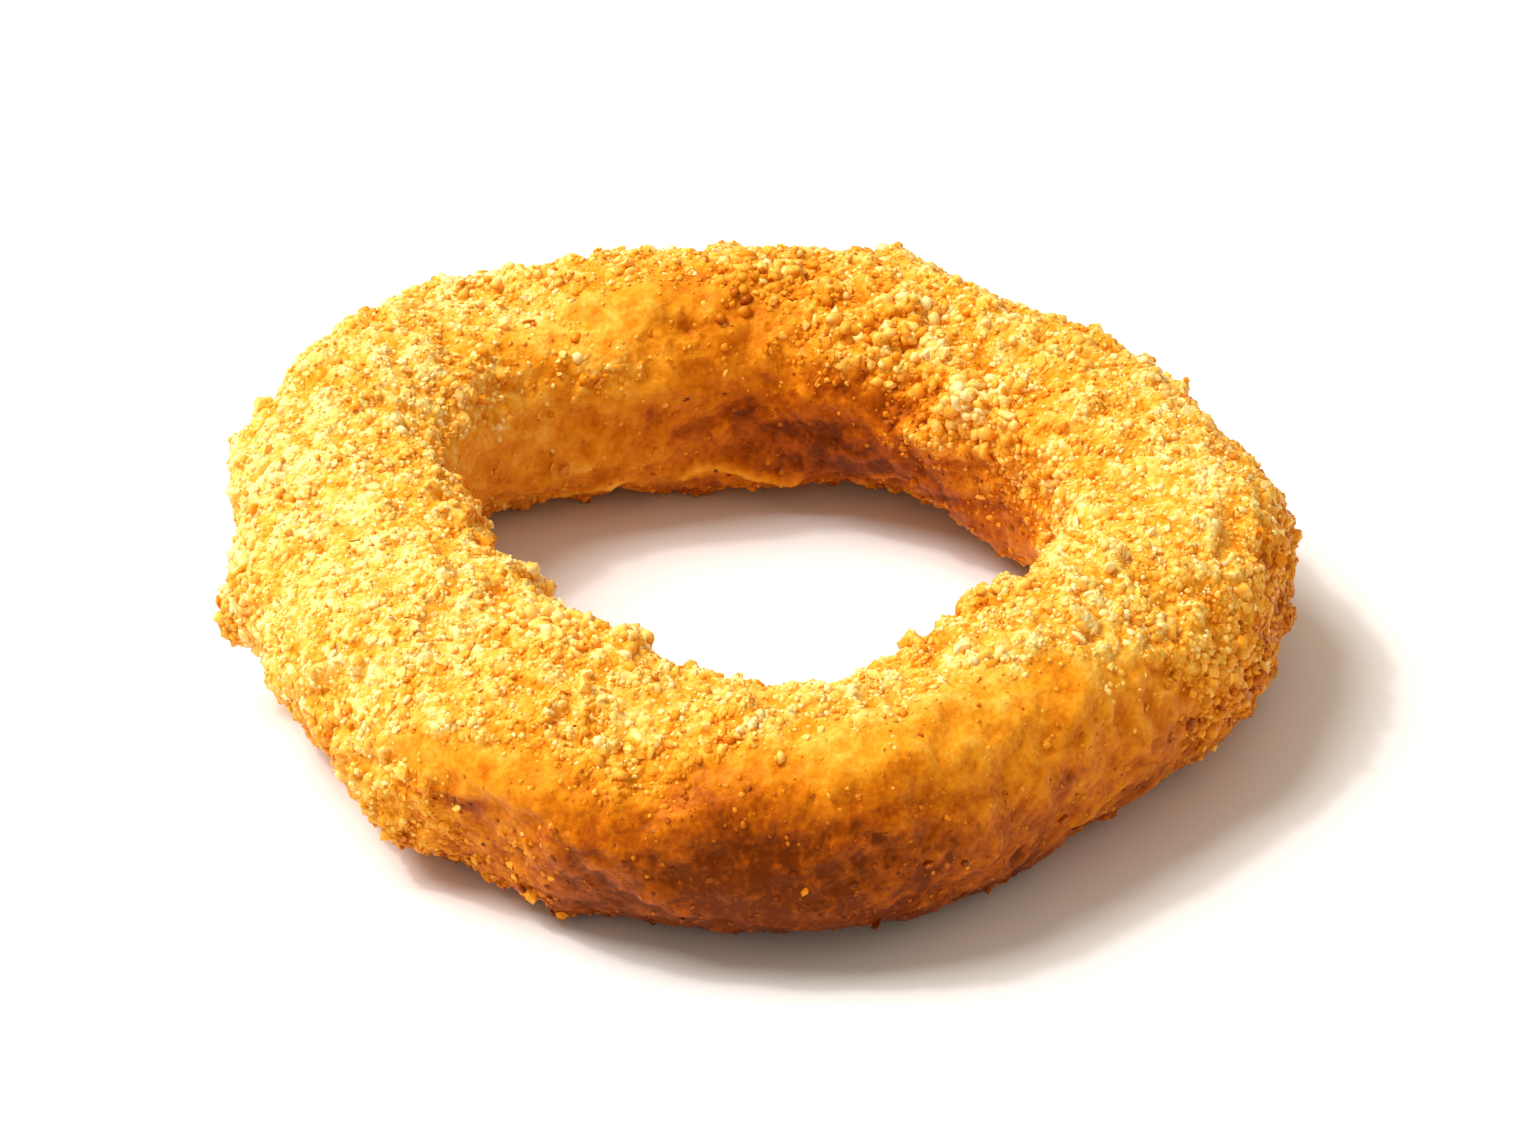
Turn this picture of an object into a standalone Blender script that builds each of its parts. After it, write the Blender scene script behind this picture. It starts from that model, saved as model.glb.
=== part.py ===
"""One breaded, deep-fried onion ring, lying flat.

The ring is one solid: a torus whose centreline wanders, whose section is a
rounded box that leans as an onion slice does, and whose crust is lumpy, with
heaps of crumbs in places. Its underside is pressed flat where it rests.

Metres, +Z up. The origin is on the floor, at the middle of the ring.
"""

import math

import bpy
import numpy as np

MM = 0.001

# Driving dimensions.
LENGTH = 72.0 * MM  # outside, along X
BREADTH_SHARE = 0.975  # outside along Y, as a share of LENGTH
TUBE_WIDTH = 17.9 * MM  # radial width of the section
TUBE_HEIGHT = 15.6 * MM  # height of the section

# How the mesh is divided.
STEPS_ROUND_RING = 112
STEPS_ROUND_TUBE = 34

# Shares of a size, taken round the ring: (times round, share, degrees of the crest).
CENTRELINE_WAVES = ((2, 0.045, 151), (3, 0.050, 21), (4, 0.013, 76), (5, 0.028, 2), (6, 0.006, 25))
WIDTH_WAVES = ((1, 0.030, 190), (2, 0.030, 20), (3, 0.020, 245), (5, 0.025, 2))
HEIGHT_WAVES = ((2, 0.025, 100), (3, 0.030, 215))
WARP = ((2, 0.20 * MM, 60), (3, 0.20 * MM, 200))  # rise of the centreline off level

# The section.
BOXINESS = 2.2  # 2 is an ellipse, and more is squarer
LEAN = math.radians(9)  # the top leans outwards, as the layers of a cut onion do
LEAN_SWING = math.radians(7)  # more or less than that round the ring
LEAN_CREST = math.radians(285)  # where it leans the most
INNER_HOLLOW = 0.9 * MM  # how far the wall of the hole is dished
INNER_HOLLOW_SPREAD = 0.65  # radians round the section

# The underside: what lies lower than this above the lowest point is pressed flat.
PRESSED = 1.3 * MM
PRESS_ROUNDING = 0.3 * MM

# Lumps in the crust, as waves through space: (number of waves, least and greatest length, height).
LUMPS = ((14, 10 * MM, 16 * MM, 0.30 * MM), (22, 5 * MM, 8 * MM, 0.11 * MM))
GOLDEN_ANGLE = math.pi * (3 - math.sqrt(5))

# Heaps of crumbs: (degrees round the ring, degrees round the section, radius, height).
# Round the section, 0 faces out, 90 up, 180 into the hole and 270 down.
CRUMB_HEAPS = (
    (185, 5, 2.4 * MM, 0.8 * MM),
    (231, 128, 3.0 * MM, 0.9 * MM),
    (247, 138, 2.4 * MM, 1.0 * MM),
    (217, 150, 2.2 * MM, 0.8 * MM),
    (62, 118, 3.0 * MM, 0.8 * MM),
    (88, 92, 2.6 * MM, 0.7 * MM),
    (38, 140, 2.8 * MM, 0.8 * MM),
    (318, 150, 2.6 * MM, 0.7 * MM),
    (128, 40, 2.8 * MM, 0.7 * MM),
    (335, 20, 2.6 * MM, 0.7 * MM),
    (20, 250, 2.6 * MM, 0.6 * MM),
    (292, 200, 2.4 * MM, 0.6 * MM),
)


def around(theta, waves):
    """The sum of share * cos(times * (theta - crest)) over the waves."""
    return sum(size * np.cos(times * (theta - math.radians(crest))) for times, size, crest in waves)


def signed_power(values, power):
    """|v| to the power, with v's sign, which squares up a circle's sine and cosine."""
    return np.sign(values) * np.abs(values) ** power


def lumps(theta, phi):
    """Plane waves through the round ring, their directions spaced over a sphere on a golden spiral."""
    mean_radius = (LENGTH - TUBE_WIDTH) / 2
    radius = mean_radius + TUBE_WIDTH / 2 * np.cos(phi)
    place = np.stack([radius * np.cos(theta), radius * np.sin(theta), TUBE_WIDTH / 2 * np.sin(phi)])
    height = np.zeros_like(theta)
    for count, shortest, longest, size in LUMPS:
        for i in range(count):
            rise = 1 - (2 * i + 1) / count
            turn = i * GOLDEN_ANGLE
            level = math.sqrt(1 - rise**2)
            direction = np.array([level * math.cos(turn), level * math.sin(turn), rise])
            length = shortest + (longest - shortest) * ((3 * i) % count) / count
            wave = np.cos(2 * math.pi / length * np.tensordot(direction, place, 1) + 5 * turn)
            height += size * math.sqrt(2 / count) * wave
    return height


def angle_between(a, b):
    """The shorter way from angle b to angle a, from -pi to pi."""
    return (a - b + math.pi) % (2 * math.pi) - math.pi


def heaps(theta, phi):
    """A bell-shaped rise at each heap, by its distance along the ring and across the section."""
    height = np.zeros_like(theta)
    for ring_degrees, section_degrees, radius, rise in CRUMB_HEAPS:
        along = angle_between(theta, math.radians(ring_degrees)) * (LENGTH - TUBE_WIDTH) / 2
        across = angle_between(phi, math.radians(section_degrees)) * (TUBE_WIDTH + TUBE_HEIGHT) / 4
        height += rise * np.exp(-(along**2 + across**2) / radius**2)
    return height


def ring_point(theta, phi):
    """Where the crust is, theta round the ring and phi round its section, before it is set down."""
    mean_radius = (LENGTH - TUBE_WIDTH) / 2
    half_width = TUBE_WIDTH / 2 * (1 + around(theta, WIDTH_WAVES))
    half_height = TUBE_HEIGHT / 2 * (1 + around(theta, HEIGHT_WAVES))

    # A rounded box, with the crust's lumps along its rays and its inner wall dished.
    power = 2 / BOXINESS
    crust = lumps(theta, phi) + heaps(theta, phi)
    crust -= INNER_HOLLOW * np.exp(-((angle_between(phi, math.pi) / INNER_HOLLOW_SPREAD) ** 2))
    out = half_width * signed_power(np.cos(phi), power) + crust * np.cos(phi)
    up = half_height * signed_power(np.sin(phi), power) + crust * np.sin(phi)

    # The section leans about the centreline.
    lean = LEAN + LEAN_SWING * np.cos(theta - LEAN_CREST)
    leaning_out = out * np.cos(lean) + up * np.sin(lean)
    leaning_up = up * np.cos(lean) - out * np.sin(lean)

    radius = mean_radius * (1 + around(theta, CENTRELINE_WAVES)) + leaning_out
    x = radius * np.cos(theta)
    y = radius * np.sin(theta) * BREADTH_SHARE
    z = leaning_up + around(theta, WARP)
    return x, y, z


def set_down(x, y, z):
    """Centres the ring over the origin and presses its lowest part flat against the floor."""
    x = (x - (x.min() + x.max()) / 2) * LENGTH / (x.max() - x.min())
    y = y - (y.min() + y.max()) / 2
    height = z - z.min() - PRESSED
    ease = (np.clip(height, -PRESS_ROUNDING, PRESS_ROUNDING) + PRESS_ROUNDING) ** 2 / (4 * PRESS_ROUNDING)
    z = np.where(height > PRESS_ROUNDING, height, ease)
    return x, y, z


def crust_material():
    """Plain golden crust."""
    material = bpy.data.materials.new("golden crust")
    material.use_nodes = True
    shader = material.node_tree.nodes["Principled BSDF"]
    shader.inputs["Base Color"].default_value = (0.80, 0.38, 0.06, 1)
    shader.inputs["Roughness"].default_value = 0.5
    shader.inputs["Metallic"].default_value = 0.0
    return material


def onion_ring(collection):
    """A torus primitive gives the closed mesh, and its points move to where the crust is."""
    mean_radius = (LENGTH - TUBE_WIDTH) / 2
    bpy.ops.mesh.primitive_torus_add(
        major_radius=mean_radius,
        minor_radius=TUBE_WIDTH / 2,
        major_segments=STEPS_ROUND_RING,
        minor_segments=STEPS_ROUND_TUBE,
    )
    ring = bpy.context.object
    ring.name = ring.data.name = "onion_ring"
    points = np.empty(len(ring.data.vertices) * 3, np.float32)
    ring.data.vertices.foreach_get("co", points)
    x, y, z = points.reshape(-1, 3).astype(float).T
    theta = np.arctan2(y, x)
    phi = np.arctan2(z, np.hypot(x, y) - mean_radius)
    placed = np.stack(set_down(*ring_point(theta, phi)), axis=1)
    ring.data.vertices.foreach_set("co", placed.astype(np.float32).ravel())
    ring.data.shade_smooth()
    ring.data.materials.append(crust_material())
    for other in ring.users_collection:
        other.objects.unlink(ring)
    collection.objects.link(ring)
    return ring


def main():
    for obj in list(bpy.data.objects):
        bpy.data.objects.remove(obj)
    collection = bpy.data.collections.new("fried onion ring")
    bpy.context.scene.collection.children.link(collection)
    onion_ring(collection)


main()
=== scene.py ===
# %% [markdown]
# # A breaded onion ring
#
# An onion ring is a slice of onion dipped in batter, rolled in breadcrumbs and fried. What the
# eye reads is the crust: crumbs heaped pale gold in some places, bare amber batter with little
# burst bubbles in others, and a dark brown edge low down, which is painted shade. The plan here
# is one smooth closed surface for the batter, worked out with numpy, and thousands of small solid
# crumbs sown over it. The imported model gives the size and place of everything.

# %% Load the imported model
import math

import bpy
import numpy as np
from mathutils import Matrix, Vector


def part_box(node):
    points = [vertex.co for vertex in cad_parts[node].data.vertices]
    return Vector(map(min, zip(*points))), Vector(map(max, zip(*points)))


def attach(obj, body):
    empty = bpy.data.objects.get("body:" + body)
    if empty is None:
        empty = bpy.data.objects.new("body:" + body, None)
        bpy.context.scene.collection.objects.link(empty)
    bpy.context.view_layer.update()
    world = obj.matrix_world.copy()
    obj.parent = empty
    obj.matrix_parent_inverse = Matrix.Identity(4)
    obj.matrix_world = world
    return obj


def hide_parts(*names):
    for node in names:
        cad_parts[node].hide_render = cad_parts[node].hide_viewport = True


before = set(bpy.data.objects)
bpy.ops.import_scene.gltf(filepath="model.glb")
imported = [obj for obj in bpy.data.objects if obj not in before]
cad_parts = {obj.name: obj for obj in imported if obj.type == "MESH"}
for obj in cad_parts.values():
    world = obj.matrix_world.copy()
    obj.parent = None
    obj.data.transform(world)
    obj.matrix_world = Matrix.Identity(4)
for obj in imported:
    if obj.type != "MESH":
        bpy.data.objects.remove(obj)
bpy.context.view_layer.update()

ring_low, ring_high = (np.array(corner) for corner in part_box("onion_ring"))
MM = (ring_high[0] - ring_low[0]) / 72  # the ring is 72 mm long
print("the solid ring, mm:", np.round((ring_high - ring_low) / MM, 2))

# %% [markdown]
# ## The shape of the ring
#
# The ring is a torus with character. Its centreline wanders off a true circle, its tube is
# thicker in some places than others, and the section is a rounded box, because a slice of onion
# has flat cut faces. Two angles name every point of it: theta round the ring, and phi round the
# tube, where 0 faces out, 90 degrees up, 180 into the hole and 270 down. A function of two
# angles can be worked out for a whole grid at once, which is what numpy does best.

# %% Waves round the ring
LENGTH = 72 * MM
BREADTH_SHARE = 0.975  # the ring is a little shorter along Y
TUBE_WIDTH = 17.9 * MM
TUBE_HEIGHT = 15.6 * MM
MEAN_RADIUS = (LENGTH - TUBE_WIDTH) / 2

# Each wave is (times round, share of the size, degrees of the crest).
CENTRELINE_WAVES = ((2, 0.045, 151), (3, 0.050, 21), (4, 0.013, 76), (5, 0.028, 2), (6, 0.006, 25))
WIDTH_WAVES = ((1, 0.030, 190), (2, 0.030, 20), (3, 0.020, 245), (5, 0.025, 2))
HEIGHT_WAVES = ((2, 0.025, 100), (3, 0.030, 215))
WARP = ((2, 0.20 * MM, 60), (3, 0.20 * MM, 200))  # how the whole ring rises and falls
print("mean radius, mm:", round(MEAN_RADIUS / MM, 2))


def around(theta, waves):
    """The sum of share * cos(times * (theta - crest)) over the waves."""
    return sum(size * np.cos(times * (theta - math.radians(crest))) for times, size, crest in waves)


def angle_between(a, b):
    """The shorter way from angle b to angle a, from -pi to pi."""
    return (a - b + math.pi) % (2 * math.pi) - math.pi


# %% Lumps that the onion and the batter give the crust
GOLDEN_ANGLE = math.pi * (3 - math.sqrt(5))
# Each set of lumps is (how many waves, shortest and longest wave, height).
LUMPS = ((14, 10 * MM, 16 * MM, 0.30 * MM), (22, 5 * MM, 8 * MM, 0.11 * MM))


def lumps(theta, phi):
    """The sum of cos(2 pi / length * distance along a direction + phase) over many waves.

    The directions are spaced over a sphere on a golden spiral, and each wave has its own length.
    """
    radius = MEAN_RADIUS + TUBE_WIDTH / 2 * np.cos(phi)
    place = np.stack([radius * np.cos(theta), radius * np.sin(theta), TUBE_WIDTH / 2 * np.sin(phi)])
    height = np.zeros_like(theta)
    for count, shortest, longest, size in LUMPS:
        for i in range(count):
            rise = 1 - (2 * i + 1) / count
            turn = i * GOLDEN_ANGLE
            level = math.sqrt(1 - rise**2)
            direction = np.array([level * math.cos(turn), level * math.sin(turn), rise])
            length = shortest + (longest - shortest) * ((3 * i) % count) / count
            wave = np.cos(2 * math.pi / length * np.tensordot(direction, place, 1) + 5 * turn)
            height += size * math.sqrt(2 / count) * wave
    return height


# %% Heaps of crumbs
# Each heap is (degrees round the ring, degrees round the section, radius, height).
CRUMB_HEAPS = (
    (185, 5, 2.4 * MM, 0.8 * MM),
    (231, 128, 3.0 * MM, 0.9 * MM),
    (247, 138, 2.4 * MM, 1.0 * MM),
    (217, 150, 2.2 * MM, 0.8 * MM),
    (62, 118, 3.0 * MM, 0.8 * MM),
    (88, 92, 2.6 * MM, 0.7 * MM),
    (38, 140, 2.8 * MM, 0.8 * MM),
    (318, 150, 2.6 * MM, 0.7 * MM),
    (128, 40, 2.8 * MM, 0.7 * MM),
    (335, 20, 2.6 * MM, 0.7 * MM),
    (20, 250, 2.6 * MM, 0.6 * MM),
    (292, 200, 2.4 * MM, 0.6 * MM),
)


def heaps(theta, phi):
    """A bell-shaped rise at each heap, by its distance along the ring and across the section."""
    height = np.zeros_like(theta)
    for ring_degrees, section_degrees, radius, rise in CRUMB_HEAPS:
        along = angle_between(theta, math.radians(ring_degrees)) * MEAN_RADIUS
        across = angle_between(phi, math.radians(section_degrees)) * (TUBE_WIDTH + TUBE_HEIGHT) / 4
        height += rise * np.exp(-(along**2 + across**2) / radius**2)
    return height


# %% The ring itself
BOXINESS = 2.2  # 2 is an ellipse, and more is squarer
LEAN = math.radians(9)  # the top leans outwards, as the layers of a cut onion do
LEAN_SWING = math.radians(7)
LEAN_CREST = math.radians(285)
INNER_HOLLOW = 0.9 * MM  # how far the wall of the hole is dished
INNER_HOLLOW_SPREAD = 0.65  # radians round the section


def ring_point(theta, phi):
    """A leaning rounded box carried round the wandering centreline, as an array of points."""
    half_width = TUBE_WIDTH / 2 * (1 + around(theta, WIDTH_WAVES))
    half_height = TUBE_HEIGHT / 2 * (1 + around(theta, HEIGHT_WAVES))
    crust = lumps(theta, phi) + heaps(theta, phi)
    crust -= INNER_HOLLOW * np.exp(-((angle_between(phi, math.pi) / INNER_HOLLOW_SPREAD) ** 2))
    across, upright = np.cos(phi), np.sin(phi)
    power = 2 / BOXINESS
    out = half_width * np.sign(across) * np.abs(across) ** power + crust * across
    up = half_height * np.sign(upright) * np.abs(upright) ** power + crust * upright
    lean = LEAN + LEAN_SWING * np.cos(theta - LEAN_CREST)
    radius = MEAN_RADIUS * (1 + around(theta, CENTRELINE_WAVES)) + out * np.cos(lean) + up * np.sin(lean)
    x = radius * np.cos(theta)
    y = radius * np.sin(theta) * BREADTH_SHARE
    z = up * np.cos(lean) - out * np.sin(lean) + around(theta, WARP)
    return np.stack([x, y, z], axis=-1)


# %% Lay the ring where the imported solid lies
STEPS_ROUND_RING = 660
STEPS_ROUND_TUBE = 150
PRESSED = 1.3 * MM  # what lies lower than this above the lowest point is pressed flat

theta, phi = np.meshgrid(
    np.arange(STEPS_ROUND_RING) * 2 * math.pi / STEPS_ROUND_RING,
    np.arange(STEPS_ROUND_TUBE) * 2 * math.pi / STEPS_ROUND_TUBE,
    indexing="ij",
)
smooth = ring_point(theta, phi)
span_low, span_high = smooth.min((0, 1)), smooth.max((0, 1))
smooth[..., 0] *= LENGTH / (span_high[0] - span_low[0])
smooth[..., :2] -= (smooth[..., :2].min((0, 1)) + smooth[..., :2].max((0, 1))) / 2
smooth[..., 2] -= span_low[2] + PRESSED
print("the smooth ring, mm:", np.round((smooth.max((0, 1)) - smooth.min((0, 1))) / MM, 2))

# %% [markdown]
# ## Noise and cells
#
# Natural surfaces need irregularity that has a size. Two functions give it. Gradient noise
# is a soft up and down of about one chosen size. Cells are the pebbled pattern of things packed
# side by side: every point knows how far away the nearest of a scatter of seeds is. Both work
# in space and not on the two angles, so nothing is stretched at the outside of the ring.

# %% Random numbers fixed to places
def lattice_random(corners, seed):
    """A number from 0 to 1 for each whole-number corner, by mixing its bits with large odd numbers."""
    mixed = corners.astype(np.int64).astype(np.uint64)
    code = mixed[..., 0] * np.uint64(73856093) ^ mixed[..., 1] * np.uint64(19349663)
    code ^= mixed[..., 2] * np.uint64(83492791) ^ np.uint64(seed * 2654435761 % 2**32)
    code = (code ^ (code >> np.uint64(13))) * np.uint64(1274126177)
    code = (code ^ (code >> np.uint64(16))) * np.uint64(2246822519)
    return ((code ^ (code >> np.uint64(15))) & np.uint64(0xFFFFFF)).astype(float) / 0xFFFFFF


# %% Gradient noise
NOISE_GAIN = 1.6  # brings the highest peaks near 1
LAYER_SHARE = 0.55  # how high each finer layer is beside the last


def noise(points, size, seed):
    """A random slope at each corner of a lattice, blended by 6 t^5 - 15 t^4 + 10 t^3 between them."""
    place = points / size
    corner = np.floor(place)
    inside = place - corner
    blend = inside**3 * (inside * (inside * 6 - 15) + 10)
    total = np.zeros(points.shape[:-1])
    for step in np.ndindex(2, 2, 2):
        step = np.array(step)
        slope = np.stack([lattice_random(corner + step, seed + k) for k in (0, 50, 90)], -1) * 2 - 1
        weight = np.where(step, blend, 1 - blend).prod(-1)
        total += weight * (slope * (inside - step)).sum(-1)
    return total * NOISE_GAIN


def fractal(points, size, seed, octaves=3):
    """Noise on noise: each layer half the size and LAYER_SHARE of the height of the last."""
    return sum(LAYER_SHARE**i * noise(points, size / 2**i, seed + 7 * i) for i in range(octaves))


print("noise on the ring:", np.round(np.percentile(noise(smooth, 5 * MM, 1), (1, 50, 99)), 2))


# %% Cells
def cells(points, size, seed):
    """The distance to the nearest of one random seed per lattice cube, in cubes, and its number."""
    place = points / size
    corner = np.floor(place)
    nearest = np.full(points.shape[:-1], 9.0)
    number = np.zeros(points.shape[:-1])
    for step in np.ndindex(3, 3, 3):
        cube = corner + np.array(step) - 1
        seed_place = np.stack([lattice_random(cube, seed + k) for k in (0, 31, 77)], -1)
        distance = np.linalg.norm(cube + seed_place - place, axis=-1)
        closer = distance < nearest
        nearest = np.where(closer, distance, nearest)
        number = np.where(closer, lattice_random(cube, seed + 11), number)
    return nearest, number


# %% [markdown]
# ## Where the crumbs held
#
# Crumbs don't hold evenly. On this ring the left and the top are thick with them, the near side
# and the far wall of the hole are almost bare batter, and the boundary between the two is ragged.
# A few bell-shaped spots on the two angles say where the bare places are, and noise frays
# their edges.

# %% Spots
# Each spot is (degrees round the ring, degrees round the section, spreads in degrees, amount).
BARE_PLACES = (
    # The near side, out to its right and up to its top.
    (274, 0, 38, 58, 1.20),
    (306, 14, 30, 50, 1.00),
    (292, 72, 26, 30, 0.65),
    (240, 36, 14, 18, 0.50),
    # The far wall of the hole, up over its rim and round to the right.
    (98, 190, 50, 56, 1.05),
    (150, 190, 26, 30, 0.50),
    (100, 118, 16, 30, 0.60),
    (124, 112, 18, 24, 0.55),
    (40, 215, 36, 34, 0.60),
)


def spots(places):
    """The sum of amount * exp(-(d_theta / spread)^2 - (d_phi / spread)^2) over the spots."""
    total = np.zeros_like(theta)
    for ring_degrees, section_degrees, along, across, amount in places:
        d_theta = np.degrees(angle_between(theta, math.radians(ring_degrees))) / along
        d_phi = np.degrees(angle_between(phi, math.radians(section_degrees))) / across
        total += amount * np.exp(-(d_theta**2) - d_phi**2)
    return total


def rise_between(low, high, values):
    """0 below low, 1 above high and a smooth step between."""
    t = np.clip((values - low) / (high - low), 0, 1)
    return t * t * (3 - 2 * t)


ragged = fractal(smooth, 5 * MM, 3)
bare = rise_between(0.30, 0.75, spots(BARE_PLACES) + 0.30 * ragged)
crumbed = 1 - bare
print("share of the crust that is crumbed:", round(float(crumbed.mean()), 2))

# %% [markdown]
# ## The batter
#
# The batter's surface is the smooth ring with a relief added along its own outward direction.
# Under crumbs it is pebbled by the crumbs packed in it, and in two places by the hole they are
# caked into big knobs. Where it is bare it swells softly, has the fine grain of orange peel, and is
# pitted where bubbles burst in the hot oil. Low on the far wall of the hole the batter ran as it
# set and left a torn edge.

# %% The outward direction at each point of a closed grid
def outward(points):
    """The cross product of the steps to the neighbours round the ring and round the tube."""
    along = np.roll(points, -1, 0) - np.roll(points, 1, 0)
    across = np.roll(points, -1, 1) - np.roll(points, 1, 1)
    normal = np.cross(along, across)
    return normal / np.linalg.norm(normal, axis=-1, keepdims=True)


# %% How high each kind of relief is
INSET = 0.45 * MM  # the batter lies this far inside the solid, and the crumbs fill the rest
PUFFS = 0.85 * MM
CLOTS = 0.32 * MM
GRIT = 0.34 * MM
SWELLING = 0.28 * MM
PEEL = 0.24 * MM
PITS = 0.34 * MM
KNOBS = 0.75 * MM
TORN_EDGE = 0.50 * MM


def puffs(points, size, seed, octaves):
    """Rounded puffs with creases between: the size of noise, low where the noise crosses zero."""
    return sum(0.5**i * (np.abs(noise(points, size / 2**i, seed + 9 * i)) - 0.3) for i in range(octaves))


# %% Relief of crumbed and of bare batter
grit_distance, grit_number = cells(smooth, 0.78 * MM, 22)
froth = PUFFS * puffs(smooth, 2.8 * MM, 21, 3)
froth += CLOTS * rise_between(0.05, 0.5, fractal(smooth, 1.6 * MM, 44, 2))
froth += GRIT * (0.55 - grit_distance) * (0.3 + grit_number)
swelling = SWELLING * fractal(smooth, 3.8 * MM, 5)
peel = PEEL * fractal(smooth, 1.7 * MM, 6, 3)
print("froth, mm:", np.round(np.percentile(froth / MM, (1, 50, 99)), 2))

# %% Burst bubbles
BURST = 0.6  # a cell holds a burst bubble when its number is above this
bubble_distance, bubble_number = cells(smooth, 4.8 * MM, 8)
bubble_edge = bubble_distance + 0.07 * noise(smooth, 1.0 * MM, 10)
bubble_radius = 0.04 + 0.26 * bubble_number
pit = rise_between(0, 1, 1.2 - 1.2 * bubble_edge / bubble_radius) * (bubble_number > BURST)
pit *= 0.3 + 0.7 * bare
print("share of the crust that is pitted:", round(float((pit > 0.5).mean()), 4))

# %% Knobs by the hole, and the torn edge low on its far wall
KNOBBLY_PLACES = ((50, 138, 26, 40, 1.30), (236, 140, 16, 30, 1.00))
knobs = fractal(smooth, 3.6 * MM, 61, 2) * np.minimum(1, spots(KNOBBLY_PLACES))

TORN_PLACE = ((92, 216, 34, 60, 1.60),)
TORN_HALF_WIDTH = 3.5  # degrees round the section
wander = 216 + 5 * np.sin(6 * theta) + 3 * np.sin(17 * theta + 1) + 5 * noise(smooth, 2 * MM, 9)
torn_edge = np.exp(-(((np.degrees(phi) - wander) / TORN_HALF_WIDTH) ** 2))
torn_edge *= rise_between(-0.35, 0.1, noise(smooth, 4 * MM, 19))
torn_edge *= np.minimum(1, spots(TORN_PLACE))

# %% All the relief together
relief = -INSET + swelling + crumbed * froth + bare * peel
relief += KNOBS * knobs + TORN_EDGE * torn_edge - PITS * pit
print("relief, mm:", np.round(np.percentile(relief / MM, (1, 50, 99)), 2))

# %% Press the underside flat
PRESS_ROUNDING = 0.3 * MM


def pressed(height):
    """Nothing below zero, with a parabola that eases the flat into the rest."""
    ease = (np.clip(height, -PRESS_ROUNDING, PRESS_ROUNDING) + PRESS_ROUNDING) ** 2
    return np.where(height > PRESS_ROUNDING, height, ease / (4 * PRESS_ROUNDING))


batter = smooth + outward(smooth) * relief[..., None]
batter[..., 2] = pressed(batter[..., 2])
facing = outward(batter)
print("the batter, mm:", np.round((batter.max((0, 1)) - batter.min((0, 1))) / MM, 2))

# %% [markdown]
# ## How brown it is, with painted light and shade
#
# Each point of the batter gets one number, from 0 for pale straw to 1 for dark brown, kept on
# the mesh as an attribute that the material reads. Bare batter is browner than crumbs. Much of
# the rest is painted light and shade: hollows, pits and the batter under the crumbs are browner
# as painted shade and what stands proud is paler as painted light; the underside, the low near
# side and the right are darker as painted shade, the far wall of the hole is browner with painted
# shade in it, and the top and the left, which face the lamp, are paler as painted light.

# %% Where it is browner or paler, much of it painted light and shade
BROWN_AND_PAINTED_LIGHT_PLACES = (
    # Browner: the far wall of the hole and its rim, with painted shade in the hole, and painted shade on
    # the near side, the right and the underside.
    (78, 200, 36, 46, 0.41),
    (92, 100, 18, 30, 0.14),
    (50, 196, 30, 46, 0.24),
    (272, -34, 46, 44, 0.60),
    (270, 28, 26, 40, 0.48),
    (306, 20, 24, 36, 0.05),
    (350, -10, 36, 46, 0.30),
    (0, 270, 400, 46, 0.26),
    # Paler, as painted light: the top of the near side, the left, which faces the lamp, and the top of
    # the right.
    (290, 94, 50, 24, -0.10),
    (180, 60, 62, 76, -0.13),
    (10, 110, 30, 50, -0.07),
    # Small dark marks.
    (236, 18, 5, 6, 0.40),
    (112, 172, 2.0, 7, 0.20),
    (104, 186, 2.5, 4, 0.22),
    (92, 178, 3, 5, 0.20),
    (74, 188, 3, 6, 0.20),
    (296, 40, 3, 5, 0.14),
    (310, 24, 3, 4, 0.16),
    (318, 42, 3, 4, 0.16),
)


def hollowness(heights, reach):
    """How far each height is below the mean of its neighbours out to reach steps, both ways."""
    mean = heights
    for axis in (0, 1):
        mean = sum(np.roll(mean, step, axis) for step in range(-reach, reach + 1)) / (2 * reach + 1)
    return mean - heights


# %% Browning, with painted light and shade
# First what a place gives to the crumbs that lie there, then what the batter's own relief adds; both hold
# painted light and shade.
place_tone_with_painted_light = 0.30 + 0.11 * bare + spots(BROWN_AND_PAINTED_LIGHT_PLACES) + 0.10 * fractal(smooth, 6 * MM, 12)
# Painted light and shade: the knobs by the hole are paler where they stand proud and browner between
# them.
place_tone_with_painted_light -= 0.22 * knobs
place_tone_with_painted_light += (0.06 + 0.09 * crumbed) * noise(smooth, 1.7 * MM, 13)
# Painted shade: the batter under the crumbs and in its hollows is browner, and painted light makes what
# stands proud paler.
brown = place_tone_with_painted_light + 0.04 * crumbed + 0.5 * np.clip(hollowness(relief, 4) / MM, -0.3, 0.15)
# Painted shade: the pits are browner.
brown += 0.08 * pit - 0.22 * torn_edge
brown = np.clip(brown, 0, 1)
print("browning:", np.round(np.percentile(brown, (5, 50, 95)), 2))


# %% Put a closed grid into a mesh
def grid_corners(rows, columns):
    """The four corners of each face of a grid that closes both ways, as row and column numbers."""
    row, column = np.meshgrid(np.arange(rows), np.arange(columns), indexing="ij")
    corner_rows = np.stack([row, row + 1, row + 1, row], -1).reshape(-1, 4)
    corner_columns = np.stack([column, column, column + 1, column + 1], -1).reshape(-1, 4)
    return corner_rows, corner_columns


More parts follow.
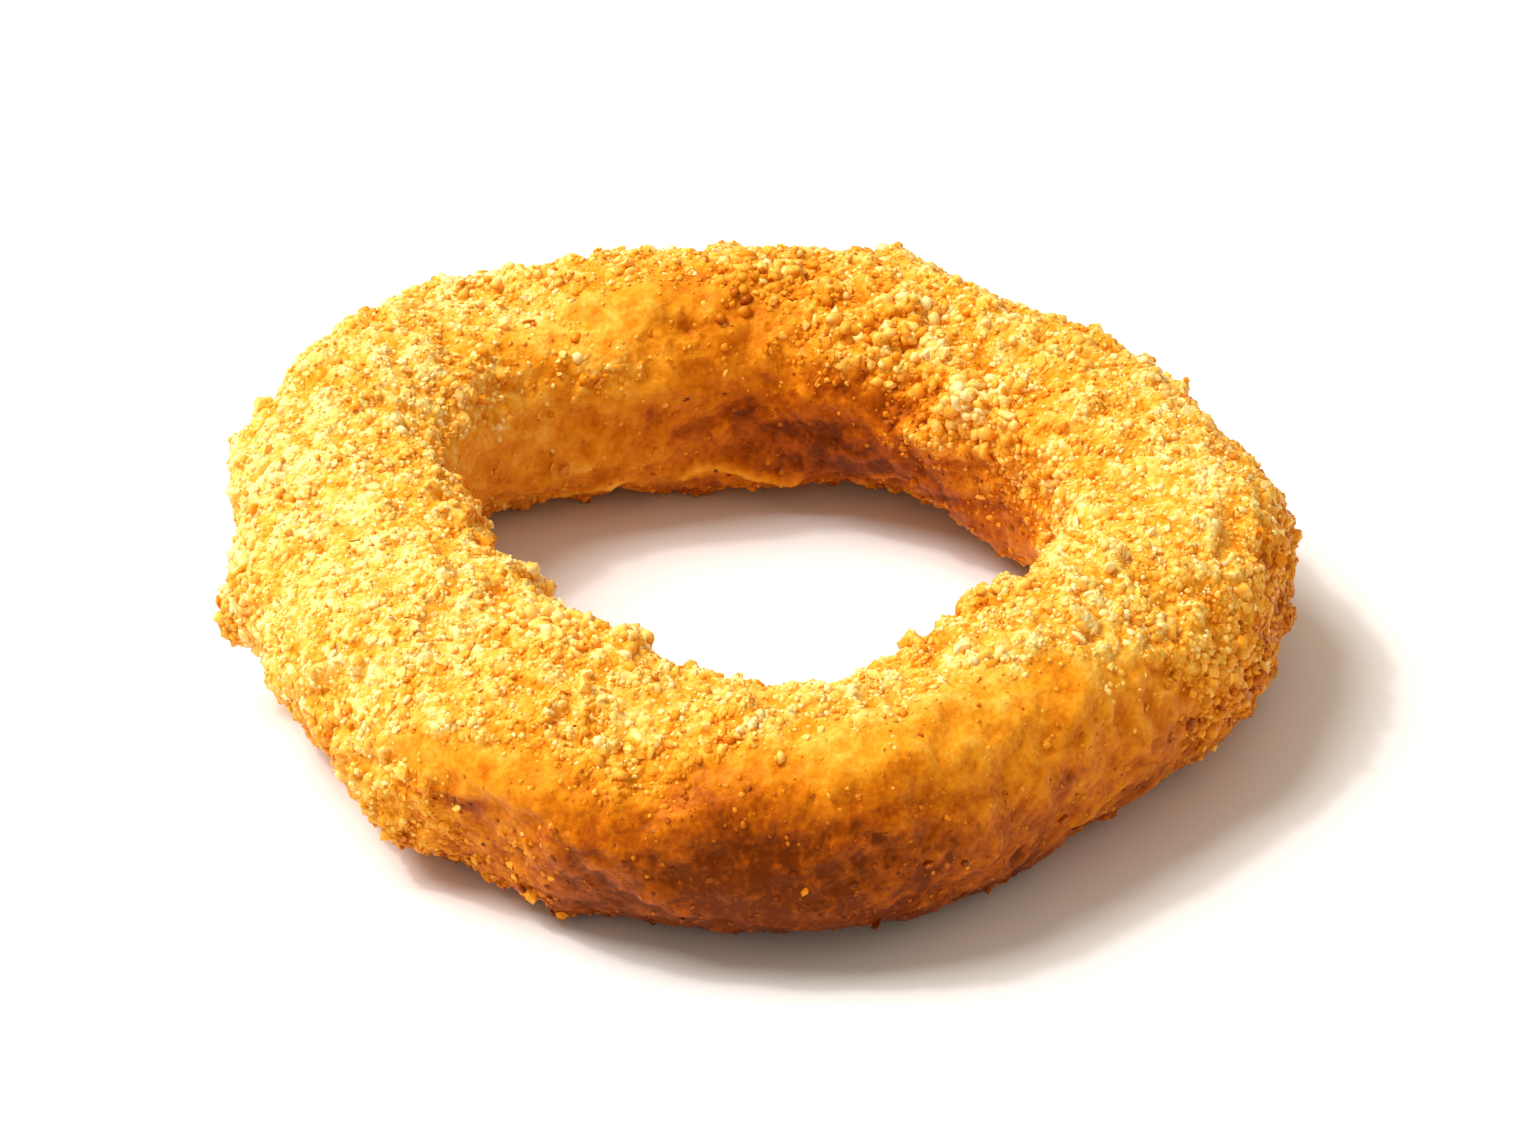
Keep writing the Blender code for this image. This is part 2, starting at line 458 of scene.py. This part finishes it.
def make_piece(name, points, faces, uv, numbers, smooth_shaded=True):
    """A mesh object at the origin from arrays: points, equal-sided faces, corner UVs and attributes."""
    mesh = bpy.data.meshes.new(name)
    sides = faces.shape[1]
    mesh.vertices.add(len(points))
    mesh.vertices.foreach_set("co", points.astype(np.float32).ravel())
    mesh.loops.add(faces.size)
    mesh.loops.foreach_set("vertex_index", faces.astype(np.int32).ravel())
    mesh.polygons.add(len(faces))
    mesh.polygons.foreach_set("loop_start", np.arange(0, faces.size, sides, dtype=np.int32))
    mesh.polygons.foreach_set("use_smooth", np.full(len(faces), smooth_shaded))
    mesh.update(calc_edges=True)
    layer = mesh.uv_layers.new(name="OFBake")
    layer.uv.foreach_set("vector", uv.astype(np.float32).ravel())
    for label, values in numbers.items():
        attribute = mesh.attributes.new(label, "FLOAT", "POINT")
        attribute.data.foreach_set("value", values.astype(np.float32).ravel())
    piece = bpy.data.objects.new(name, mesh)
    bpy.context.scene.collection.objects.link(piece)
    print(name, len(mesh.vertices), "points,", len(mesh.polygons) * (sides - 2), "triangles")
    return piece


# %% The batter piece
corner_rows, corner_columns = grid_corners(*theta.shape)
batter_faces = (corner_rows % STEPS_ROUND_RING) * STEPS_ROUND_TUBE + corner_columns % STEPS_ROUND_TUBE
batter_uv = np.stack([corner_rows / STEPS_ROUND_RING, corner_columns / STEPS_ROUND_TUBE], -1)
batter_piece = make_piece(
    "batter",
    batter.reshape(-1, 3),
    batter_faces,
    batter_uv,
    {"brown": brown, "bare": bare},
)

# %% [markdown]
# ## Materials
#
# Fried crust is coloured by one ramp from straw through gold and amber to brown, which the batter
# and the crumbs share. The batter is slightly translucent, so light creeps under its surface and
# warms the edges. The crumbs are too small for that, and would lose the light and turn dull. A film
# of oil gives both a soft gloss, and the crumbs, which are smoother, small sharp glints.

# %% The frying ramp
FRYING_COLOURS = (
    (0.00, (1.00, 0.81, 0.37)),
    (0.10, (1.00, 0.68, 0.20)),
    (0.22, (0.97, 0.53, 0.078)),
    (0.40, (0.88, 0.34, 0.016)),
    (0.60, (0.69, 0.195, 0.004)),
    (0.80, (0.42, 0.082, 0.002)),
    (1.00, (0.16, 0.024, 0.001)),
)


def frying_ramp(nodes):
    """A colour ramp node with the frying colours."""
    ramp = nodes.new("ShaderNodeValToRGB")
    elements = ramp.color_ramp.elements
    while len(elements) < len(FRYING_COLOURS):
        elements.new(0.5)
    for element, (position, colour) in zip(elements, FRYING_COLOURS):
        element.position = position
        element.color = (*colour, 1)
    return ramp


# %% The shader of crust
CREEP = 0.0011  # metres that red light creeps under the crust
OIL_TINT = (1.0, 0.70, 0.30, 1)


def crust_shader(name, translucency, oiliness):
    """A new material, its nodes and links, and its Principled shader with the shared finish."""
    material = bpy.data.materials.new(name)
    material.use_nodes = True
    nodes, links = material.node_tree.nodes, material.node_tree.links
    shader = nodes["Principled BSDF"]
    shader.inputs["Specular IOR Level"].default_value = oiliness
    shader.inputs["Specular Tint"].default_value = OIL_TINT
    shader.inputs["Subsurface Weight"].default_value = translucency
    shader.inputs["Subsurface Radius"].default_value = (1.0, 0.55, 0.25)
    shader.inputs["Subsurface Scale"].default_value = CREEP
    return material, nodes, links, shader


def attribute_node(nodes, name):
    """The value of a mesh attribute."""
    node = nodes.new("ShaderNodeAttribute")
    node.attribute_name = name
    return node.outputs["Fac"]


# %% Small node helpers
def carry(nodes, links, value, from_range, to_range):
    """Carries a value evenly from one range to another, and holds it at the ends."""
    node = nodes.new("ShaderNodeMapRange")
    for label, number in zip(("From Min", "From Max", "To Min", "To Max"), (*from_range, *to_range)):
        node.inputs[label].default_value = number
    links.new(value, node.inputs["Value"])
    return node.outputs["Result"]


def combine(nodes, links, operation, a, b):
    """The sum or the product of two values."""
    node = nodes.new("ShaderNodeMath")
    node.operation = operation
    links.new(a, node.inputs[0])
    links.new(b, node.inputs[1])
    return node.outputs["Value"]


def grain(nodes, links, waves_per_metre, detail, to_range):
    """A noise texture on Object coordinates, carried from the range it fills to another."""
    place = nodes.new("ShaderNodeTexCoord").outputs["Object"]
    node = nodes.new("ShaderNodeTexNoise")
    node.inputs["Scale"].default_value = waves_per_metre
    node.inputs["Detail"].default_value = detail
    links.new(place, node.inputs["Vector"])
    return carry(nodes, links, node.outputs["Fac"], (0.3, 0.7), to_range)


# %% Granules that fill between the crumbs
GRANULES = 2300  # per metre


def granule_nodes(nodes, links):
    """Each Voronoi cell's own tone and the height of a dome on it, both nothing where bare."""
    place = nodes.new("ShaderNodeTexCoord").outputs["Object"]
    cell = nodes.new("ShaderNodeTexVoronoi")
    cell.inputs["Scale"].default_value = GRANULES
    links.new(place, cell.inputs["Vector"])
    crumbed_part = carry(nodes, links, attribute_node(nodes, "bare"), (0, 1), (1, 0))
    tone = carry(nodes, links, cell.outputs["Color"], (0, 1), (-0.14, 0.14))
    dome = carry(nodes, links, cell.outputs["Distance"], (0, 0.8), (1.2, 0))
    return [combine(nodes, links, "MULTIPLY", value, crumbed_part) for value in (tone, dome)]


# %% The batter's material
BATTER_TRANSLUCENCY = 0.20
BATTER_OILINESS = 0.13
CRUMBED_ROUGHNESS = 0.50
BARE_ROUGHNESS = 0.40
BUMP_STRENGTH = 0.7
BUMP_HEIGHT = 0.16 * MM


def batter_material():
    """Browning with painted light and shade from the mesh, mottled by noise, with granules where crumbed
    and a gloss where bare.
    """
    material, nodes, links, shader = crust_shader("fried batter", BATTER_TRANSLUCENCY, BATTER_OILINESS)
    granule_tone, granule_height = granule_nodes(nodes, links)
    mottle = grain(nodes, links, 700, 4, (-0.05, 0.05))
    fleck = grain(nodes, links, 2400, 3, (-0.08, 0.08))
    # The attribute holds the browning together with painted light and painted shade.
    browning = attribute_node(nodes, "brown")
    for tone in (mottle, fleck, granule_tone):
        browning = combine(nodes, links, "ADD", browning, tone)
    ramp = frying_ramp(nodes)
    links.new(browning, ramp.inputs["Fac"])
    links.new(ramp.outputs["Color"], shader.inputs["Base Color"])
    gloss_range = (CRUMBED_ROUGHNESS, BARE_ROUGHNESS)
    roughness = carry(nodes, links, attribute_node(nodes, "bare"), (0, 1), gloss_range)
    links.new(roughness, shader.inputs["Roughness"])
    bump = nodes.new("ShaderNodeBump")
    bump.inputs["Strength"].default_value = BUMP_STRENGTH
    bump.inputs["Distance"].default_value = BUMP_HEIGHT
    fine_grain = grain(nodes, links, 1800, 5, (0, 0.6))
    links.new(combine(nodes, links, "ADD", fine_grain, granule_height), bump.inputs["Height"])
    links.new(bump.outputs["Normal"], shader.inputs["Normal"])
    return material


batter_piece.data.materials.append(batter_material())
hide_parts("onion_ring")
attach(batter_piece, "root")
print("the batter's material has", len(batter_piece.data.materials[0].node_tree.nodes), "nodes")

# %% [markdown]
# ## The crumbs
#
# A breadcrumb is a small solid with no two alike. Each starts as a ball of a few flat faces, and
# then every corner is pushed in or out at random, and the whole is squashed unequally, turned at
# random and sunk a little into the batter. All the crumbs of one kind are worked out together, as
# one array of crumbs by corners by x, y and z, and they become one piece.

# %% One ball of few faces
def ball(rings, spokes):
    """Rings of points between two poles, as unit directions, with its triangles and their UVs."""
    row, column = np.meshgrid(np.arange(rings + 2), np.arange(spokes + 1), indexing="ij")
    latitude = math.pi * (row / (rings + 1) - 0.5)
    longitude = 2 * math.pi * (column + 0.5 * row) / spokes
    level = np.cos(latitude)
    sphere = np.stack([level * np.cos(longitude), level * np.sin(longitude), np.sin(latitude)], -1)
    points = np.concatenate([[sphere[0, 0]], sphere[1:-1, :-1].reshape(-1, 3), [sphere[-1, 0]]])
    number = 1 + (row - 1) * spokes + column % spokes
    number[0], number[-1] = 0, rings * spokes + 1
    place = np.stack([column / spokes, row / (rings + 1)], -1)

    def triangles(values):
        low_left, low_right = values[:-1, :-1], values[:-1, 1:]
        high_left, high_right = values[1:, :-1], values[1:, 1:]
        lower = np.stack([low_left, low_right, high_left], 2)[1:]
        upper = np.stack([low_right, high_right, high_left], 2)[:-1]
        sides = values.shape[2:]
        return np.concatenate([lower.reshape(-1, 3, *sides), upper.reshape(-1, 3, *sides)])

    return points, triangles(number), triangles(place)


# %% Where crumbs may be sown
# Quads of the batter's grid, with their area, for choosing places at random but evenly.
next_round, next_across = np.roll(batter, -1, 0), np.roll(batter, -1, 1)
face_area = np.linalg.norm(np.cross(next_round - batter, next_across - batter), axis=-1)
clear_of_floor = rise_between(0.1 * MM, 0.8 * MM, batter[..., 2])
print("area of the crust, square cm:", round(float(face_area.sum()) * 1e4, 1))


def pick_places(rng, count, density):
    """Random points of the batter, each face as likely as its density times its area."""
    chance = (density * face_area * clear_of_floor).ravel()
    place = rng.choice(chance.size, count, p=chance / chance.sum())
    ring_step, tube_step = rng.random((2, count))[..., None]
    row, column = np.unravel_index(place, theta.shape)
    after_row, after_column = (row + 1) % theta.shape[0], (column + 1) % theta.shape[1]
    near = batter[row, column] * (1 - ring_step) + batter[after_row, column] * ring_step
    far = batter[row, after_column] * (1 - ring_step) + batter[after_row, after_column] * ring_step
    return row, column, near * (1 - tube_step) + far * tube_step


# %% The shape and lie of each crumb
FAVOUR_SMALL = 1.8  # 1 makes every size as common, and more favours the small ones
STRETCH = 0.35  # how much longer than wide a crumb may be
LEANING = 0.55  # how far a crumb's short way leans off the batter's outward direction


def crumb_bodies(rng, count, directions, radii, squash, jagged):
    """Balls whose corners are in or out at random, stretched one way and squashed another."""
    radius = (radii[0] + (radii[1] - radii[0]) * rng.random(count) ** FAVOUR_SMALL) * MM
    corners = directions * (1 + jagged * rng.standard_normal((count, len(directions), 1)))
    thickness = squash + (1 - squash) * rng.random(count)
    length = 1 + STRETCH * rng.random(count)
    corners *= np.stack([length, np.ones(count), thickness], -1)[:, None]
    return corners, radius, thickness


def leaning_axes(rng, normal):
    """Three square directions for each crumb, the last of them near its outward direction."""
    up = normal + LEANING * rng.standard_normal(normal.shape)
    up /= np.linalg.norm(up, axis=-1, keepdims=True)
    side = np.cross(up, rng.standard_normal(normal.shape))
    side /= np.linalg.norm(side, axis=-1, keepdims=True)
    return np.stack([side, np.cross(up, side), up], 1)


# %% A UV cell for each crumb
CELL_MARGIN = 0.08


def crumb_uv(count, ball_uv):
    """A square sheet of cells, one for each crumb, with the ball's own UVs inside a margin."""
    cells_across = math.ceil(math.sqrt(count))
    cell = np.stack([np.arange(count) % cells_across, np.arange(count) // cells_across], -1)
    return (cell[:, None, None] + CELL_MARGIN + (1 - 2 * CELL_MARGIN) * ball_uv) / cells_across


# %% The crumbs' material
CRUMB_ROUGHNESS = 0.30
CRUMB_OILINESS = 0.28


def crumb_material(name):
    """Each crumb's own browning, with its painted shade and light, through the frying ramp, and no bump,
    because its shape is real.
    """
    material, nodes, links, shader = crust_shader(name.replace("_", " "), 0, CRUMB_OILINESS)
    fleck = grain(nodes, links, 1800, 2, (-0.06, 0.06))
    ramp = frying_ramp(nodes)
    links.new(combine(nodes, links, "ADD", attribute_node(nodes, "brown"), fleck), ramp.inputs["Fac"])
    links.new(ramp.outputs["Color"], shader.inputs["Base Color"])
    shader.inputs["Roughness"].default_value = CRUMB_ROUGHNESS
    return material


# %% Sow one kind of crumb
SUNK_PAINTED_SHADE = 0.15  # painted shade: how much browner a crumb is made for each radius down
EVEN_HEIGHT = 0.4  # in radii above the batter, where a crumb has no painted shade or light
OFF_THE_FLOOR = 0.02 * MM


def sow(name, seed, count, shape, radii, density, squash, depth, shift, scatter, jagged, rounded):
    """A piece of count crumbs, each a ball with random corners, squashed, turned and sunk a little.

    radii are the smallest and largest in millimetres, and small ones are the most common. density
    is how likely each place is. squash is the least height as a share of the width, and depth how
    far the middle sinks as a share of the radius. shift and scatter move a crumb's browning from
    that of its place, jagged is how far its corners wander, and rounded crumbs are shaded smooth.
    """
    rng = np.random.default_rng(seed)
    row, column, middle = pick_places(rng, count, density)
    normal = facing[row, column]
    directions, triangles, ball_uv = ball(*shape)
    corners, radius, thickness = crumb_bodies(rng, count, directions, radii, squash, jagged)
    corners = np.einsum("ncj,njk->nck", corners, leaning_axes(rng, normal)) * radius[:, None, None]
    corners += (middle - normal * (depth * radius * thickness)[:, None])[:, None]
    corners[..., 2] = np.maximum(corners[..., 2], OFF_THE_FLOOR)

    # Painted shade and light: a crumb is browner where it sits in the batter, where shade falls between
    # the crumbs, and palest at the tip that stands proud.
    tone = place_tone_with_painted_light[row, column] + shift + scatter * rng.standard_normal(count)
    standing = ((corners - middle[:, None]) * normal[:, None]).sum(-1) / radius[:, None]
    tone = tone[:, None] + SUNK_PAINTED_SHADE * (EVEN_HEIGHT - standing)
    faces = triangles + len(directions) * np.arange(count)[:, None, None]
    piece = make_piece(
        name,
        corners.reshape(-1, 3),
        faces.reshape(-1, 3),
        crumb_uv(count, ball_uv).reshape(-1, 2),
        {"brown": np.clip(tone, 0, 1).ravel()},
        smooth_shaded=rounded,
    )
    piece.data.materials.append(crumb_material(name))
    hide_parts("onion_ring")
    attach(piece, "root")


# %% [markdown]
# ## Which crumbs lie where
#
# The finest are grit that fills between the others, most are about half a millimetre, and a few
# are whole flakes that stand out of the ring's outline. The big ones gather on the heaps. Grit
# and a scatter of browned crumbs also lie on the bare batter, so it never looks like plastic.

# %% How thickly they lie
clumps = rise_between(-0.25, 0.45, fractal(smooth, 2.2 * MM, 40))
cover = crumbed * (0.15 + 0.85 * clumps)
on_heaps = np.clip(heaps(theta, phi) / (0.8 * MM), 0, 1)
raised = (cover + 0.05) * rise_between(1.5 * MM, 3.5 * MM, batter[..., 2])
print("mean cover:", round(float(cover.mean()), 2), "share on heaps:", round(float(on_heaps.mean()), 2))

# %% Sow them
# Grit is sown twice, in two pieces, so that neither is too heavy.
# name, count, ball, radii, density, squash, depth, shift, scatter, jagged, rounded
CRUMBS = (
    ("grit", 9800, (2, 5), (0.10, 0.22), crumbed + 0.20, 0.60, 0.30, -0.08, 0.13, 0.16, True),
    ("more_grit", 9800, (2, 5), (0.10, 0.22), crumbed + 0.20, 0.60, 0.30, -0.08, 0.13, 0.16, True),
    ("small", 9800, (2, 5), (0.16, 0.32), cover + 0.03, 0.60, 0.35, -0.08, 0.13, 0.16, True),
    ("small_jagged", 5000, (2, 5), (0.18, 0.34), cover + 0.03, 0.55, 0.25, -0.10, 0.13, 0.20, False),
    ("middling", 3200, (3, 6), (0.24, 0.46), cover + 0.4 * on_heaps, 0.45, 0.40, -0.06, 0.13, 0.20, True),
    ("big", 350, (4, 6), (0.36, 0.62), cover**3 + on_heaps, 0.40, 0.40, -0.04, 0.08, 0.20, True),
    ("heaped", 1900, (3, 6), (0.20, 0.56), on_heaps, 0.50, 0.10, -0.06, 0.12, 0.20, True),
    ("flakes", 900, (2, 5), (0.25, 0.55), raised, 0.20, 0.00, -0.08, 0.12, 0.25, False),
    ("browned", 1000, (2, 5), (0.14, 0.30), cover + 0.20, 0.50, 0.30, 0.14, 0.10, 0.20, False),
)
for seed, (kind, *how) in enumerate(CRUMBS, start=1):
    sow("crumbs_" + kind, seed, *how)
print("crumbs in all:", sum(count for _, count, *_ in CRUMBS))

# %% [markdown]
# ## The table, the light and the camera
#
# A pale floor, one broad soft lamp from the upper left for shape, a small one beside it for glints
# on the crumbs, and an even warm sky that fills the shadows the way hot crust lights itself. Suns
# are used as lamps, because they light a floor evenly out to its edge. The camera looks down on
# the ring through a long lens, as one looks at a plate.

# %% Floor
FLOOR_SIZE = 4.0
FLOOR_GAP = 0.05 * MM  # keeps the pressed underside from lying in the floor's own plane
bpy.ops.mesh.primitive_plane_add(size=FLOOR_SIZE, location=(0, 0, -FLOOR_GAP))
floor = bpy.context.object
floor.name = "floor"
floor_material = bpy.data.materials.new("white table")
floor_material.use_nodes = True
floor_shader = floor_material.node_tree.nodes["Principled BSDF"]
floor_shader.inputs["Base Color"].default_value = (0.86, 0.86, 0.87, 1)
floor_shader.inputs["Roughness"].default_value = 0.7
floor.data.materials.append(floor_material)

# %% Lamps
LIGHT_FROM = (-0.54, 0.14, 0.82)
LAMP_DISTANCE = 0.75  # a sun lights the same from any distance
# Each lamp is (name, strength, degrees across).
LAMPS = (("soft key", 3.2, 36), ("glint", 0.8, 4.6))
centre = np.array([0, 0, (ring_high[2] - ring_low[2]) / 2])


def place_looking(obj, toward, distance, target=centre):
    """Puts a lamp or camera at a distance in a direction from the target, facing the target."""
    toward = Vector(toward).normalized()
    obj.location = Vector(target) + toward * distance
    obj.rotation_euler = toward.to_track_quat("Z", "Y").to_euler()
    bpy.context.scene.collection.objects.link(obj)


for name, strength, softness in LAMPS:
    lamp = bpy.data.lights.new(name, "SUN")
    lamp.energy = strength
    lamp.angle = math.radians(softness)
    lamp.color = (1.0, 0.98, 0.95)
    place_looking(bpy.data.objects.new(name, lamp), LIGHT_FROM, LAMP_DISTANCE)

# %% Sky
# Warm and dim overhead, and white in a narrow band at the horizon, behind the floor's edge.
FILL = (0.56, 0.493, 0.392, 1)
BAND_TOP = 0.10  # as the upward part of the view's direction, which is 1 overhead

world = bpy.data.worlds.new("sky")
world.use_nodes = True
sky_nodes, sky_links = world.node_tree.nodes, world.node_tree.links
height = sky_nodes.new("ShaderNodeSeparateXYZ")
sky_links.new(sky_nodes.new("ShaderNodeTexCoord").outputs["Generated"], height.inputs[0])
band = sky_nodes.new("ShaderNodeValToRGB")
band.color_ramp.elements[0].position = 0.4 * BAND_TOP
band.color_ramp.elements[0].color = (1, 1, 1, 1)
band.color_ramp.elements[1].position = BAND_TOP
band.color_ramp.elements[1].color = FILL
sky_links.new(height.outputs["Z"], band.inputs["Fac"])
sky_links.new(band.outputs["Color"], sky_nodes["Background"].inputs["Color"])
bpy.context.scene.world = world
bpy.context.scene.view_settings.view_transform = "Standard"

# %% Camera
ELEVATION = math.radians(33.5)
FRAME_SHARE = 0.72  # how much of the picture's width the ring takes
lens = bpy.data.cameras.new("camera")
lens.lens = 200
distance = LENGTH / FRAME_SHARE * lens.lens / lens.sensor_width
lens.clip_start = 0.01
camera = bpy.data.objects.new("camera", lens)
place_looking(camera, (0, -math.cos(ELEVATION), math.sin(ELEVATION)), distance)
bpy.context.scene.camera = camera
print("camera distance, m:", round(distance, 3))
